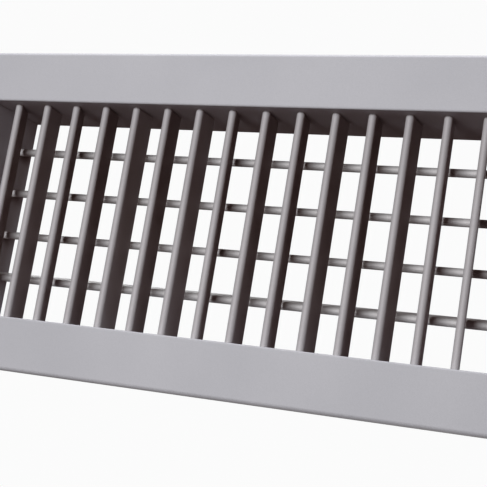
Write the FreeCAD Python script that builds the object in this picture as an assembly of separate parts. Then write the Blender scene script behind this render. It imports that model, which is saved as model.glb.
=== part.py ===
"""Double-deflection louvred air grille: a flanged aluminium frame with a row of upright
front blades and a row of level rear blades, each blade turning on its own two pins.

Millimetres. +X along the grille's length, +Y into the duct, +Z up. The origin is the centre
of the wall plane, which is the back of the flange's rim and of the foam gasket.
"""

import FreeCAD
import Part

import math
import os

# Opening between the neck walls
OPENING_LENGTH = 328.0
OPENING_HEIGHT = 125.0

# Frame extrusion: a flange with a turned-back rim, and a neck that enters the duct
FLANGE_WIDTH = 29.5
FLANGE_THICKNESS = 2.0
RIM_DEPTH = 4.5
RIM_THICKNESS = 2.0
RIM_RADIUS = 2.0
OPENING_EDGE_RADIUS = 1.0
RIM_EDGE_RADIUS = 0.3
INNER_CORNER_RADIUS = 0.4
NECK_THICKNESS = 1.5
NECK_DEPTH = 48.0
NECK_END_RADIUS = 0.4
MITRE_GAP = 0.1
FACE_Y = -RIM_DEPTH
FLANGE_BACK_Y = FACE_Y + FLANGE_THICKNESS
NECK_BACK_Y = FACE_Y + NECK_DEPTH

# Channel on the flange's back that holds the corner cleats
CHANNEL_START = 3.5
CHANNEL_WIDTH = 8.0
CHANNEL_RIB = 1.0
CHANNEL_HOOK = 1.0
CHANNEL_HEIGHT = 1.9
CHANNEL_LIP = 0.6
CHANNEL_EDGE_RADIUS = 0.2
CLEAT_LEG = 26.0
CLEAT_THICKNESS = 1.2
CLEAT_CLEARANCE = 0.1
CLEAT_OUTER_RADIUS = 1.5
CLEAT_END_RADIUS = 1.0
CLEAT_INNER_RADIUS = 0.5

# Foam gasket inside the rim
GASKET_WIDTH = 6.0
GASKET_FROM_OUTSIDE = 2.6
GASKET_CORNER_RADIUS = 1.0

# Countersunk fixing holes, two in each end flange
FIXING_HOLE_RADIUS = 2.15
FIXING_SINK_RADIUS = 3.6
FIXING_FROM_OPENING = 16.5
FIXING_HEIGHT_SPACING = 90.0

# Blade section: a round nose that carries the pins, tapering to a thin round tail
NOSE_RADIUS = 2.15
TAIL_RADIUS = 0.6
NOSE_TO_TAIL = 14.4
PIN_RADIUS = 1.0

# Blade rows
FRONT_PITCH = 20.0
FRONT_PIVOT_DEPTH = 9.0
REAR_PITCH = 25.4
REAR_PIVOT_DEPTH = 28.5
REAR_ROW_RISE = 1.1
FRONT_PIVOT_Y = FACE_Y + FRONT_PIVOT_DEPTH
REAR_PIVOT_Y = FACE_Y + REAR_PIVOT_DEPTH

# How each blade is set: degrees about +Z for the upright ones, left to right,
# and about +X for the level ones, bottom to top
FRONT_TURNS = (18, 2, 18, 5, -6, 1, -4, 13, 0, 5, -5, 1, -6, 6, 13, 1)
REAR_TURNS = (18.5, 8, 7, 9)

# Pins and the nylon bushes that they run in
PIN_IN_BLADE = 8.0
PIN_PAST_BLADE = 3.4
PIN_CHAMFER = 0.2
BUSH_RUNNING_CLEARANCE = 0.05
BUSH_BODY_RADIUS = 1.45
BUSH_FLANGE_RADIUS = 1.85
BUSH_FLANGE_THICKNESS = 0.4
BUSH_FLANGE_EDGE = 0.15
BUSH_HEAD_RADIUS = 2.1
BUSH_HEAD_THICKNESS = 0.6
BUSH_CHAMFER = 0.25
BLADE_END_GAP = 0.15

X_AXIS = FreeCAD.Vector(1, 0, 0)
Y_AXIS = FreeCAD.Vector(0, 1, 0)
Z_AXIS = FreeCAD.Vector(0, 0, 1)
CENTRE = FreeCAD.Vector(0, 0, 0)


def rounded_outline(corners):
    """A closed wire in the XY plane from (x, y, radius) corners; a radius of 0 is a sharp corner."""
    points = [FreeCAD.Vector(x, y, 0) for x, y, _ in corners]
    radii = [radius for _, _, radius in corners]
    count = len(corners)
    starts, ends, arcs = [], [], []
    for i in range(count):
        here = points[i]
        to_last = (points[i - 1] - here).normalize()
        to_next = (points[(i + 1) % count] - here).normalize()
        if radii[i] == 0:
            starts.append(here)
            ends.append(here)
            arcs.append(None)
            continue
        half = to_last.getAngle(to_next) / 2
        reach = radii[i] / math.tan(half)
        start = here + to_last * reach
        end = here + to_next * reach
        middle_way = (to_last + to_next).normalize()
        middle = here + middle_way * (radii[i] / math.sin(half) - radii[i])
        starts.append(start)
        ends.append(end)
        arcs.append(Part.Arc(start, middle, end).toShape())
    edges = []
    for i in range(count):
        if arcs[i]:
            edges.append(arcs[i])
        following = starts[(i + 1) % count]
        if ends[i].distanceToPoint(following) > 1e-6:
            edges.append(Part.makeLine(ends[i], following))
    return Part.Wire(edges)


def frame_section():
    """The frame extrusion's section: x runs outward from the opening, y into the duct."""
    rib_outer = CHANNEL_START + CHANNEL_WIDTH
    rib_top = FLANGE_BACK_Y + CHANNEL_HEIGHT
    hook_under = rib_top - CHANNEL_LIP
    rim_inner = FLANGE_WIDTH - RIM_THICKNESS
    corners = [
        (0, FACE_Y, OPENING_EDGE_RADIUS),
        (FLANGE_WIDTH, FACE_Y, RIM_RADIUS),
        (FLANGE_WIDTH, 0, RIM_EDGE_RADIUS),
        (rim_inner, 0, RIM_EDGE_RADIUS),
        (rim_inner, FLANGE_BACK_Y, INNER_CORNER_RADIUS),
        (rib_outer + CHANNEL_RIB, FLANGE_BACK_Y, 0),
        (rib_outer + CHANNEL_RIB, rib_top, CHANNEL_EDGE_RADIUS),
        (rib_outer - CHANNEL_HOOK, rib_top, 0),
        (rib_outer - CHANNEL_HOOK, hook_under, 0),
        (rib_outer, hook_under, 0),
        (rib_outer, FLANGE_BACK_Y, 0),
        (CHANNEL_START, FLANGE_BACK_Y, 0),
        (CHANNEL_START, hook_under, 0),
        (CHANNEL_START + CHANNEL_HOOK, hook_under, 0),
        (CHANNEL_START + CHANNEL_HOOK, rib_top, 0),
        (CHANNEL_START - CHANNEL_RIB, rib_top, CHANNEL_EDGE_RADIUS),
        (CHANNEL_START - CHANNEL_RIB, FLANGE_BACK_Y, 0),
        (NECK_THICKNESS, FLANGE_BACK_Y, 0),
        (NECK_THICKNESS, NECK_BACK_Y, NECK_END_RADIUS),
        (0, NECK_BACK_Y, NECK_END_RADIUS),
    ]
    return Part.Face(rounded_outline(corners))


def mitre_wedge(half_length):
    """A prism that keeps what lies between two 45 degree mitres, for a rail along X above the opening."""
    overlap = 1.0
    low = -overlap
    high = FLANGE_WIDTH + overlap
    gap = MITRE_GAP / math.sqrt(2)
    outline = Part.makePolygon([
        FreeCAD.Vector(-half_length - low + gap, 0, low),
        FreeCAD.Vector(half_length + low - gap, 0, low),
        FreeCAD.Vector(half_length + high - gap, 0, high),
        FreeCAD.Vector(-half_length - high + gap, 0, high),
        FreeCAD.Vector(-half_length - low + gap, 0, low),
    ])
    wedge = Part.Face(outline).extrude(Y_AXIS * (NECK_DEPTH + 2 * overlap))
    wedge.translate(Y_AXIS * (FACE_Y - overlap))
    return wedge


def frame_rail(opening_side):
    """One mitred rail along X, its neck's inner face on Z = 0 and its flange rising along +Z."""
    length = opening_side + 2 * FLANGE_WIDTH
    section = frame_section()
    # the section's x becomes +Z and its y stays +Y
    section.rotate(CENTRE, Y_AXIS, -90)
    rail = section.extrude(X_AXIS * length)
    rail.translate(X_AXIS * (-length / 2))
    return rail.common(mitre_wedge(opening_side / 2))


def pierced(rail, places, radius):
    """The rail with round holes through its neck at the given (x, y) places."""
    for x, y in places:
        start = FreeCAD.Vector(x, y, -NECK_THICKNESS)
        rail = rail.cut(Part.makeCylinder(radius, 3 * NECK_THICKNESS, start, Z_AXIS))
    return rail


def fixing_hole(x, z):
    """The tool for a countersunk hole through the flange, in the frame's own place."""
    sink_depth = FIXING_SINK_RADIUS - FIXING_HOLE_RADIUS
    margin = 1.0
    drill = Part.makeCylinder(
        FIXING_HOLE_RADIUS,
        FLANGE_THICKNESS + 2 * margin,
        FreeCAD.Vector(x, FACE_Y - margin, z),
        Y_AXIS,
    )
    sink = Part.makeCone(
        FIXING_SINK_RADIUS + margin,
        FIXING_HOLE_RADIUS,
        sink_depth + margin,
        FreeCAD.Vector(x, FACE_Y - margin, z),
        Y_AXIS,
    )
    return drill.fuse(sink)


def placed(rail, side):
    """A rail made above the opening, moved to its own side of it."""
    turns = {"top": 0, "left": -90, "bottom": 180, "right": 90}
    reach = OPENING_HEIGHT / 2 if side in ("top", "bottom") else OPENING_LENGTH / 2
    moved = rail.copy()
    moved.translate(Z_AXIS * reach)
    moved.rotate(CENTRE, Y_AXIS, turns[side])
    return moved


def front_places():
    """X of each upright blade's pivot, left to right."""
    count = len(FRONT_TURNS)
    return [FRONT_PITCH * (i - (count - 1) / 2) for i in range(count)]


def rear_places():
    """Z of each level blade's pivot, bottom to top."""
    count = len(REAR_TURNS)
    return [REAR_ROW_RISE + REAR_PITCH * (i - (count - 1) / 2) for i in range(count)]


def frame_parts():
    """The four mitred rails, with the holes for the bushes and the fixing screws."""
    upright_holes = [(x, FRONT_PIVOT_Y) for x in front_places()]
    long_rail = pierced(frame_rail(OPENING_LENGTH), upright_holes, BUSH_BODY_RADIUS)
    rails = {"frame_top": placed(long_rail, "top"), "frame_bottom": placed(long_rail, "bottom")}
    # turning a rail to the left side takes its +X to +Z, and to the right side to -Z
    for name, side, sign in (("frame_left", "left", 1), ("frame_right", "right", -1)):
        level_holes = [(sign * z, REAR_PIVOT_Y) for z in rear_places()]
        short_rail = pierced(frame_rail(OPENING_HEIGHT), level_holes, BUSH_BODY_RADIUS)
        rail = placed(short_rail, side)
        x = -sign * (OPENING_LENGTH / 2 + FIXING_FROM_OPENING)
        for z in (-FIXING_HEIGHT_SPACING / 2, FIXING_HEIGHT_SPACING / 2):
            rail = rail.cut(fixing_hole(x, z))
        rails[name] = rail
    return rails


def corner_cleats():
    """Four flat L-shaped cleats, each in the channels of two rails that meet."""
    low = CHANNEL_START + CLEAT_CLEARANCE
    high = CHANNEL_START + CHANNEL_WIDTH - CLEAT_CLEARANCE
    outline = [
        (high, high, CLEAT_OUTER_RADIUS),
        (high, high - CLEAT_LEG, CLEAT_END_RADIUS),
        (low, high - CLEAT_LEG, CLEAT_END_RADIUS),
        (low, low, CLEAT_INNER_RADIUS),
        (high - CLEAT_LEG, low, CLEAT_END_RADIUS),
        (high - CLEAT_LEG, high, CLEAT_END_RADIUS),
    ]
    flat = Part.Face(rounded_outline(outline)).extrude(Z_AXIS * CLEAT_THICKNESS)
    # stood up so that the corner of the L points to +X and +Z
    flat.rotate(CENTRE, X_AXIS, 90)
    flat.translate(Y_AXIS * (FLANGE_BACK_Y + CLEAT_CLEARANCE / 2 + CLEAT_THICKNESS))
    cleats = []
    for x_side, z_side in ((1, 1), (-1, 1), (-1, -1), (1, -1)):
        cleat = flat.copy()
        if x_side < 0:
            cleat = cleat.mirror(CENTRE, X_AXIS)
        if z_side < 0:
            cleat = cleat.mirror(CENTRE, Z_AXIS)
        cleat.translate(X_AXIS * (x_side * OPENING_LENGTH / 2) + Z_AXIS * (z_side * OPENING_HEIGHT / 2))
        cleats.append(cleat)
    return Part.makeCompound(cleats)


def slab_behind_flange(inset):
    """A slab from the flange's back to the wall plane, its edges this far inside the flange's."""
    half_length = OPENING_LENGTH / 2 + FLANGE_WIDTH - inset
    half_height = OPENING_HEIGHT / 2 + FLANGE_WIDTH - inset
    signs = ((1, 1), (-1, 1), (-1, -1), (1, -1))
    corners = [(x * half_length, z * half_height, GASKET_CORNER_RADIUS) for x, z in signs]
    slab = Part.Face(rounded_outline(corners)).extrude(Z_AXIS * -FLANGE_BACK_Y)
    # the slab's thickness becomes +Y
    slab.rotate(CENTRE, X_AXIS, -90)
    slab.translate(Y_AXIS * FLANGE_BACK_Y)
    return slab


def foam_gasket():
    """The foam ring on the flange's back, level with the rim."""
    outer = slab_behind_flange(GASKET_FROM_OUTSIDE)
    inner = slab_behind_flange(GASKET_FROM_OUTSIDE + GASKET_WIDTH)
    return outer.cut(inner)


def blade(length):
    """A blade standing along +Z, centred on the origin, its nose on the Z axis and its tail at +Y."""
    lean = math.asin((NOSE_RADIUS - TAIL_RADIUS) / NOSE_TO_TAIL)
    nose_x = NOSE_RADIUS * math.cos(lean)
    nose_y = NOSE_RADIUS * math.sin(lean)
    tail_x = TAIL_RADIUS * math.cos(lean)
    tail_y = NOSE_TO_TAIL + TAIL_RADIUS * math.sin(lean)
    nose_left = FreeCAD.Vector(-nose_x, nose_y, 0)
    nose_right = FreeCAD.Vector(nose_x, nose_y, 0)
    tail_left = FreeCAD.Vector(-tail_x, tail_y, 0)
    tail_right = FreeCAD.Vector(tail_x, tail_y, 0)
    nose_tip = FreeCAD.Vector(0, -NOSE_RADIUS, 0)
    tail_tip = FreeCAD.Vector(0, NOSE_TO_TAIL + TAIL_RADIUS, 0)
    outline = Part.Wire([
        Part.Arc(nose_left, nose_tip, nose_right).toShape(),
        Part.makeLine(nose_right, tail_right),
        Part.Arc(tail_right, tail_tip, tail_left).toShape(),
        Part.makeLine(tail_left, nose_left),
    ])
    solid = Part.Face(outline).extrude(Z_AXIS * length)
    solid = solid.cut(Part.makeCylinder(PIN_RADIUS, length))
    solid.translate(Z_AXIS * (-length / 2))
    return solid


def blade_pins(length):
    """The two pins pressed into the ends of a blade of this length, which stands along +Z."""
    full = PIN_IN_BLADE + PIN_PAST_BLADE
    pin = Part.makeCylinder(PIN_RADIUS, full)
    tips = [edge for edge in pin.Edges if len(edge.Vertexes) == 1]
    pin = pin.makeChamfer(PIN_CHAMFER, tips)
    upper = pin.copy()
    upper.translate(Z_AXIS * (length / 2 - PIN_IN_BLADE))
    lower = upper.mirror(CENTRE, Z_AXIS)
    return Part.makeCompound([lower, upper])


def bush():
    """A nylon bush standing along +Z, its neck-side shoulder on Z = 0 and its bore on the Z axis."""
    bore = PIN_RADIUS + BUSH_RUNNING_CLEARANCE
    head_top = NECK_THICKNESS + BUSH_HEAD_THICKNESS
    half_section = [
        (bore, -BUSH_FLANGE_THICKNESS, 0),
        (BUSH_FLANGE_RADIUS, -BUSH_FLANGE_THICKNESS, BUSH_FLANGE_EDGE),
        (BUSH_FLANGE_RADIUS, 0, 0),
        (BUSH_BODY_RADIUS, 0, 0),
        (BUSH_BODY_RADIUS, NECK_THICKNESS, 0),
        (BUSH_HEAD_RADIUS, NECK_THICKNESS, 0),
        (BUSH_HEAD_RADIUS - BUSH_CHAMFER, head_top, 0),
        (bore, head_top, 0),
    ]
    face = Part.Face(rounded_outline(half_section))
    # the section's y becomes +Z
    face.rotate(CENTRE, X_AXIS, 90)
    return face.revolve(CENTRE, Z_AXIS, 360)


def bush_groups():
    """One group of bushes for each side of the neck."""
    groups = {}
    for side in ("top", "bottom"):
        solids = []
        for x in front_places():
            one = bush()
            one.translate(FreeCAD.Vector(x, FRONT_PIVOT_Y, 0))
            solids.append(placed(one, side))
        groups["bushes_" + side] = Part.makeCompound(solids)
    for side, sign in (("left", 1), ("right", -1)):
        solids = []
        for z in rear_places():
            one = bush()
            one.translate(FreeCAD.Vector(sign * z, REAR_PIVOT_Y, 0))
            solids.append(placed(one, side))
        groups["bushes_" + side] = Part.makeCompound(solids)
    return groups


def blade_length(opening_side):
    return opening_side - 2 * (BUSH_FLANGE_THICKNESS + BLADE_END_GAP)


def front_blades():
    """The upright blades and their pins, each turned about its own pivot."""
    length = blade_length(OPENING_HEIGHT)
    parts = {}
    for number, (x, turn) in enumerate(zip(front_places(), FRONT_TURNS), start=1):
        for name, shape in (("front_blade", blade(length)), ("front_pins", blade_pins(length))):
            shape.rotate(CENTRE, Z_AXIS, turn)
            shape.translate(FreeCAD.Vector(x, FRONT_PIVOT_Y, 0))
            parts[f"{name}_{number:02d}"] = shape
    return parts


def rear_blades():
    """The level blades and their pins, each turned about its own pivot."""
    length = blade_length(OPENING_LENGTH)
    parts = {}
    for number, (z, turn) in enumerate(zip(rear_places(), REAR_TURNS), start=1):
        for name, shape in (("rear_blade", blade(length)), ("rear_pins", blade_pins(length))):
            # laid along +X, then tilted
            shape.rotate(CENTRE, Y_AXIS, 90)
            shape.rotate(CENTRE, X_AXIS, turn)
            shape.translate(FreeCAD.Vector(0, REAR_PIVOT_Y, z))
            parts[f"{name}_{number}"] = shape
    return parts


def main():
    parts = frame_parts()
    parts["corner_cleats"] = corner_cleats()
    parts["foam_gasket"] = foam_gasket()
    parts.update(bush_groups())
    parts.update(front_blades())
    parts.update(rear_blades())
    os.makedirs("parts", exist_ok=True)
    for name, shape in parts.items():
        shape.exportStep(f"parts/{name}.step")
        volumes = sum(solid.Volume for solid in shape.Solids)
        print(f"{name}: {len(shape.Solids)} solid(s), valid {shape.isValid()}, {volumes:.1f} mm3")


main()
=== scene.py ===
"""The looks of the louvred air grille: coated aluminium frame and blades, nylon bushes, steel pins,
zinc-plated cleats and a foam gasket, under soft studio light. Metres, in the CAD model's frame."""

import math

import bpy
from mathutils import Matrix, Vector


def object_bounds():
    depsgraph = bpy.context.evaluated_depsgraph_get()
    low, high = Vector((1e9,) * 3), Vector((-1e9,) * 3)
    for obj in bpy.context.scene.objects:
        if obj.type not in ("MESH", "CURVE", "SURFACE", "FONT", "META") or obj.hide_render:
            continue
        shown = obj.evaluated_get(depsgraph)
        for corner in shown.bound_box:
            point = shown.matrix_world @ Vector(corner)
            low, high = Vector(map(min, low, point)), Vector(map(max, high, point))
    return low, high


# Camera: where it looks on the wall plane, from where, and with which lens
CAMERA_TARGET = Vector((0.01131, 0.0, -0.01013))
CAMERA_AZIMUTH = 26.67
CAMERA_ELEVATION = -9.86
CAMERA_DISTANCE = 0.6587
CAMERA_ROLL = 9.41
CAMERA_LENS_MM = 94.24
SENSOR_MM = 36.0

# Display: a gamma below 1 darkens the middle tones a little
VIEW_GAMMA = 0.88

# Display: green and blue keep these shares at the dark level. At the half-dark level this part of
# the loss is left, and at the plain level none
DARK_GREEN_SHARE = 0.79
DARK_BLUE_SHARE = 0.74
DARK_LEVEL = 0.035
HALF_DARK_LEVEL = 0.12
HALF_DARK_LOSS = 0.3
PLAIN_LEVEL = 0.30

# Numbers of the display curves
GREEN_CURVE = 1
BLUE_CURVE = 2

# Surround: white for the camera, dim and warm for the grille
SEEN_COLOUR = (1.0, 1.0, 1.0, 1.0)
SEEN_STRENGTH = 0.97
LIT_COLOUR = (1.0, 0.50, 0.36, 1.0)
LIT_STRENGTH = 0.032

WHITE_LIGHT = (1.0, 1.0, 1.0)
KEY_LIGHT = (1.0, 0.99, 0.98)
UNDERSIDE_LIGHT = (1.0, 0.97, 0.95)
RIGHT_BACK_NODES = ("frame_top", "frame_right", "corner_cleats", "foam_gasket", "bushes_right")

FLOOR_DROP = 1.0
FLOOR_RADIUS = 3.5
FLOOR_SIDES = 96

# The coating's darker and lighter tone on the frame, the upright blades and the level blades. The blades
# carry the frame's one coating, toned for how the light falls on each row: the level blades lighter, as
# painted light over the shade they lie in, and the upright blades a little darker, as painted shade on
# their fully lit noses
FRAME_TONES = ((0.450, 0.453, 0.488), (0.476, 0.478, 0.513))
UPRIGHT_TONES_PAINTED_SHADE = ((0.436, 0.423, 0.441), (0.462, 0.449, 0.467))
LEVEL_TONES_PAINTED_LIGHT = ((0.510, 0.500, 0.510), (0.540, 0.530, 0.540))
FRAME_METALLIC = 0.05
UPRIGHT_METALLIC = 0.2
LEVEL_METALLIC = 0.3

# Draw lines run along a profile, so their noise is stretched along it
ALONG_X = (0.02, 1.0, 1.0)
ALONG_Z = (1.0, 1.0, 0.02)

# The colour sockets of Blender's Mix node
MIX_FIRST = 6
MIX_SECOND = 7
MIX_RESULT = 2


def direction(azimuth, elevation):
    """The unit vector towards this azimuth (0 is the front, -Y) and elevation, both in degrees."""
    a = math.radians(azimuth)
    e = math.radians(elevation)
    return Vector((math.sin(a) * math.cos(e), -math.cos(a) * math.cos(e), math.sin(e)))


def warm_dark_tones(view):
    """Bend the green and blue display curves down in dark tones, so that shaded metal reads as warm."""
    mapping = view.curve_mapping
    for channel, share in ((GREEN_CURVE, DARK_GREEN_SHARE), (BLUE_CURVE, DARK_BLUE_SHARE)):
        half_dark_share = 1.0 - HALF_DARK_LOSS * (1.0 - share)
        points = mapping.curves[channel].points
        points.new(DARK_LEVEL, DARK_LEVEL * share)
        points.new(HALF_DARK_LEVEL, HALF_DARK_LEVEL * half_dark_share)
        points.new(PLAIN_LEVEL, PLAIN_LEVEL)
    mapping.update()
    view.use_curve_mapping = True


def add_camera():
    data = bpy.data.cameras.new("camera")
    data.sensor_width = SENSOR_MM
    data.lens = CAMERA_LENS_MM
    camera = bpy.data.objects.new("camera", data)
    bpy.context.scene.collection.objects.link(camera)
    back = direction(CAMERA_AZIMUTH, CAMERA_ELEVATION)
    facing = (-back).to_track_quat("-Z", "Y").to_matrix().to_4x4()
    roll = Matrix.Rotation(math.radians(CAMERA_ROLL), 4, "Z")
    camera.matrix_world = Matrix.Translation(CAMERA_TARGET + back * CAMERA_DISTANCE) @ facing @ roll
    bpy.context.scene.camera = camera


def add_area_light(name, azimuth, elevation, distance, size, watts, colour=WHITE_LIGHT, lights_only=None):
    """A soft light that faces the origin, and lights everything or only the objects given."""
    data = bpy.data.lights.new(name, "AREA")
    data.shape = "RECTANGLE"
    data.size, data.size_y = size
    data.energy = watts
    data.color = colour
    light = bpy.data.objects.new(name, data)
    light.visible_camera = False
    bpy.context.scene.collection.objects.link(light)
    towards = direction(azimuth, elevation)
    light.location = towards * distance
    light.rotation_mode = "QUATERNION"
    light.rotation_quaternion = (-towards).to_track_quat("-Z", "Y")
    if lights_only:
        receivers = bpy.data.collections.new(name + "_receivers")
        for receiver in lights_only:
            receivers.objects.link(receiver)
        light.light_linking.receiver_collection = receivers


def add_world():
    """A white surround for the eye, and a dim warm one for the light that reaches the grille."""
    world = bpy.data.worlds.new("surround")
    bpy.context.scene.world = world
    world.use_nodes = True
    nodes = world.node_tree.nodes
    links = world.node_tree.links
    nodes.clear()
    seen = nodes.new("ShaderNodeBackground")
    seen.inputs["Color"].default_value = SEEN_COLOUR
    seen.inputs["Strength"].default_value = SEEN_STRENGTH
    lit = nodes.new("ShaderNodeBackground")
    lit.inputs["Color"].default_value = LIT_COLOUR
    lit.inputs["Strength"].default_value = LIT_STRENGTH
    path = nodes.new("ShaderNodeLightPath")
    mix = nodes.new("ShaderNodeMixShader")
    output = nodes.new("ShaderNodeOutputWorld")
    is_camera, for_others, for_camera = mix.inputs
    links.new(path.outputs["Is Camera Ray"], is_camera)
    links.new(lit.outputs["Background"], for_others)
    links.new(seen.outputs["Background"], for_camera)
    links.new(mix.outputs["Shader"], output.inputs["Surface"])


class Finish:
    """A node material under construction, with short calls for the nodes that the finishes share."""

    def __init__(self, name):
        self.material = bpy.data.materials.new(name)
        self.material.use_nodes = True
        self.nodes = self.material.node_tree.nodes
        self.links = self.material.node_tree.links
        self.shader = self.nodes["Principled BSDF"]
        self.place = self.nodes.new("ShaderNodeTexCoord").outputs["Object"]

    def set(self, **values):
        for name, value in values.items():
            self.shader.inputs[name.replace("_", " ")].default_value = value

    def stretched(self, scale):
        """The place on the object, stretched along the axes that have a small scale."""
        mapping = self.nodes.new("ShaderNodeMapping")
        mapping.inputs["Scale"].default_value = scale
        self.links.new(self.place, mapping.inputs["Vector"])
        return mapping.outputs["Vector"]

    def noise(self, scale, detail=2.0, place=None):
        node = self.nodes.new("ShaderNodeTexNoise")
        node.inputs["Scale"].default_value = scale
        node.inputs["Detail"].default_value = detail
        self.links.new(place or self.place, node.inputs["Vector"])
        return node.outputs["Fac"]

    def cells(self, scale, output="Color"):
        node = self.nodes.new("ShaderNodeTexVoronoi")
        node.inputs["Scale"].default_value = scale
        self.links.new(self.place, node.inputs["Vector"])
        return node.outputs[output]

    def spread(self, value, low, high, out_low=0.0, out_high=1.0):
        """A value from low to high, spread over out_low to out_high."""
        node = self.nodes.new("ShaderNodeMapRange")
        node.inputs["From Min"].default_value = low
        node.inputs["From Max"].default_value = high
        node.inputs["To Min"].default_value = out_low
        node.inputs["To Max"].default_value = out_high
        self.links.new(value, node.inputs["Value"])
        return node.outputs["Result"]

    def mixed(self, factor, first, second):
        """A colour between two, each an RGB tuple or another node's output."""
        node = self.nodes.new("ShaderNodeMix")
        node.data_type = "RGBA"
        self.links.new(factor, node.inputs["Factor"])
        for socket, colour in ((node.inputs[MIX_FIRST], first), (node.inputs[MIX_SECOND], second)):
            if isinstance(colour, tuple):
                socket.default_value = (*colour, 1.0)
            else:
                self.links.new(colour, socket)
        return node.outputs[MIX_RESULT]

    def colour(self, output):
        self.links.new(output, self.shader.inputs["Base Color"])

    def roughness(self, output):
        self.links.new(output, self.shader.inputs["Roughness"])

    def bump(self, *layers):
        """Bumps one over another, each (height, distance in metres, strength)."""
        normal = None
        for height, distance, strength in layers:
            node = self.nodes.new("ShaderNodeBump")
            node.inputs["Distance"].default_value = distance
            node.inputs["Strength"].default_value = strength
            self.links.new(height, node.inputs["Height"])
            if normal:
                self.links.new(normal, node.inputs["Normal"])
            normal = node.outputs["Normal"]
        self.links.new(normal, self.shader.inputs["Normal"])


def coated_metal(name, low, high, draw_scale, metallic):
    """Satin silver-grey coating over extruded aluminium: fine grain, faint clouding, faint draw lines."""
    f = Finish(name)
    f.set(Metallic=metallic, IOR=1.38)
    clouding = f.noise(scale=14.0, detail=3.0)
    draw_lines = f.noise(scale=900.0, place=f.stretched(draw_scale))
    grain = f.noise(scale=2600.0)
    tone = f.mixed(f.spread(clouding, 0.35, 0.65), low, high)
    flecks = f.spread(f.cells(scale=3800.0), 0.0, 1.0, out_low=0.94, out_high=1.04)
    shade = f.nodes.new("ShaderNodeVectorMath")
    shade.operation = "SCALE"
    f.links.new(tone, shade.inputs["Vector"])
    f.links.new(flecks, shade.inputs["Scale"])
    f.colour(shade.outputs["Vector"])
    f.roughness(f.spread(grain, 0.3, 0.7, out_low=0.62, out_high=0.74))
    f.bump((draw_lines, 0.00002, 0.25), (grain, 0.00003, 0.35))
    return f.material


def moulded_nylon():
    """Grey nylon with a fine mould grain."""
    f = Finish("moulded_nylon")
    f.set(IOR=1.53)
    grain = f.noise(scale=3000.0)
    f.colour(f.mixed(f.spread(f.noise(scale=400.0), 0.3, 0.7), (0.21, 0.21, 0.215), (0.26, 0.26, 0.265)))
    f.roughness(f.spread(grain, 0.3, 0.7, out_low=0.42, out_high=0.58))
    f.bump((grain, 0.00002, 0.3))
    return f.material


def turned_steel():
    """Bare steel with fine marks."""
    f = Finish("turned_steel")
    f.set(Metallic=1.0)
    marks = f.noise(scale=4000.0, detail=1.0)
    f.colour(f.mixed(f.spread(marks, 0.3, 0.7), (0.50, 0.49, 0.48), (0.62, 0.61, 0.60)))
    f.roughness(f.spread(marks, 0.3, 0.7, out_low=0.25, out_high=0.38))
    f.bump((marks, 0.00001, 0.3))
    return f.material


def zinc_plate():
    """Zinc plate with crystal spangle."""
    f = Finish("zinc_plate")
    f.set(Metallic=1.0)
    spangle = f.cells(scale=260.0)
    f.colour(f.mixed(f.spread(spangle, 0.2, 0.8), (0.50, 0.51, 0.53), (0.68, 0.69, 0.70)))
    f.roughness(f.spread(f.noise(scale=900.0), 0.3, 0.7, out_low=0.30, out_high=0.48))
    f.bump((f.noise(scale=1500.0), 0.00002, 0.2))
    return f.material


def foam():
    """Black closed-cell foam, with its pores as dents, and the dents painted darker as painted shade."""
    f = Finish("closed_cell_foam")
    f.set(IOR=1.35)
    pores = f.cells(scale=1100.0, output="Distance")
    # Painted shade: the colour is darker in the pore dents
    f.colour(f.mixed(f.spread(pores, 0.0, 0.6), (0.012, 0.012, 0.013), (0.040, 0.040, 0.043)))
    f.roughness(f.spread(f.noise(scale=500.0), 0.3, 0.7, out_low=0.80, out_high=0.95))
    f.bump((pores, 0.0003, 0.8))
    return f.material


def pale_floor():
    """Matt off-white, faintly uneven."""
    f = Finish("pale_floor")
    f.colour(f.mixed(f.spread(f.noise(scale=3.0), 0.3, 0.7), (0.80, 0.79, 0.78), (0.83, 0.82, 0.81)))
    f.set(Roughness=0.85)
    return f.material


def add_floor(low_z):
    """A large round floor, well below the grille, which hangs as it would on a wall.

    The grille's surfaces don't see it, so it doesn't light them from below."""
    bpy.ops.mesh.primitive_circle_add(vertices=FLOOR_SIDES, radius=FLOOR_RADIUS, fill_type="NGON",
                                      location=(0.0, 0.0, low_z - FLOOR_DROP))
    floor = bpy.context.object
    floor.name = "floor"
    floor.data.materials.append(pale_floor())
    floor.visible_diffuse = False
    floor.visible_glossy = False
    return floor


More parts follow.
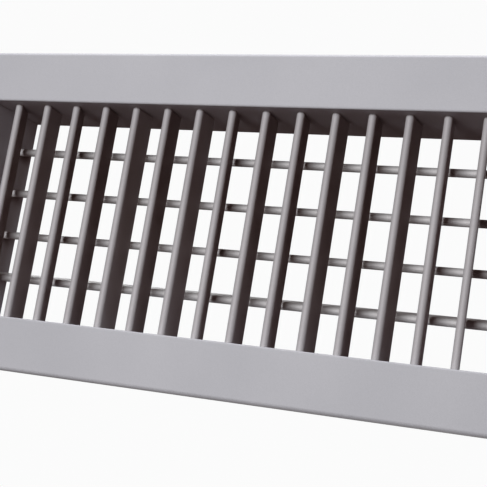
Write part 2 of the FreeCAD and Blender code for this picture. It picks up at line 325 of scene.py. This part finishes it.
def add_lights(nodes, floor):
    """A key and an overhead light, fills for the back, the right and the underside, and the floor's own."""
    behind_front_row = [node for name, node in nodes.items() if not name.startswith("front_")]
    right_back = [nodes[name] for name in RIGHT_BACK_NODES]
    add_area_light("key", -4.0, 3.0, distance=1.1, size=(0.6, 0.55), watts=12.7, colour=KEY_LIGHT)
    add_area_light("overhead", 0.0, 88.0, distance=1.5, size=(2.0, 0.6), watts=33.0)
    add_area_light("back_fill", -135.0, 18.0, distance=1.6, size=(0.9, 0.6), watts=15.0,
                   lights_only=behind_front_row)
    add_area_light("right_back_fill", 135.0, 18.0, distance=1.6, size=(0.9, 0.6), watts=15.0,
                   lights_only=right_back)
    add_area_light("low_back_fill", 180.0, -50.0, distance=1.2, size=(0.9, 0.6), watts=6.0,
                   colour=UNDERSIDE_LIGHT, lights_only=[nodes["frame_bottom"]])
    add_area_light("floor_wash", 0.0, 90.0, distance=1.0, size=(12.0, 12.0), watts=430.0,
                   lights_only=[floor])


def paint(nodes):
    """Put each node's finish on it."""
    level_frame = coated_metal("frame_coating_level", *FRAME_TONES, ALONG_X, FRAME_METALLIC)
    upright_frame = coated_metal("frame_coating_upright", *FRAME_TONES, ALONG_Z, FRAME_METALLIC)
    # The upright blades get the coating toned darker, as painted shade, and the level blades get it toned
    # lighter, as painted light
    upright_blade_painted_shade = coated_metal("blade_coating_upright_painted_shade", *UPRIGHT_TONES_PAINTED_SHADE, ALONG_Z, UPRIGHT_METALLIC)
    level_blade_painted_light = coated_metal("blade_coating_level_painted_light", *LEVEL_TONES_PAINTED_LIGHT, ALONG_X, LEVEL_METALLIC)
    nylon = moulded_nylon()
    steel = turned_steel()
    by_start = {
        "frame_top": level_frame,
        "frame_bottom": level_frame,
        "frame_left": upright_frame,
        "frame_right": upright_frame,
        "front_blade": upright_blade_painted_shade,
        "rear_blade": level_blade_painted_light,
        "front_pins": steel,
        "rear_pins": steel,
        "bushes": nylon,
        "corner_cleats": zinc_plate(),
        "foam_gasket": foam(),
    }
    for name, node in nodes.items():
        finish = next(material for start, material in by_start.items() if name.startswith(start))
        node.data.materials.clear()
        node.data.materials.append(finish)


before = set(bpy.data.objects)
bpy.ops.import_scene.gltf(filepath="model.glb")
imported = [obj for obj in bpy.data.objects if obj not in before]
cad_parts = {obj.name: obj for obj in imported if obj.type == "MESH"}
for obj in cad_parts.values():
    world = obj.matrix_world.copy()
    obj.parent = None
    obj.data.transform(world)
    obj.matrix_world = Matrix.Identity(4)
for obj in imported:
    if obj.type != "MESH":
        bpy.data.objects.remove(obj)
cad_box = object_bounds()

scene = bpy.context.scene
scene.view_settings.view_transform = "Standard"
scene.view_settings.gamma = VIEW_GAMMA
warm_dark_tones(scene.view_settings)
add_camera()
add_world()
add_lights(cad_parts, add_floor(cad_box[0].z))
paint(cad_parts)
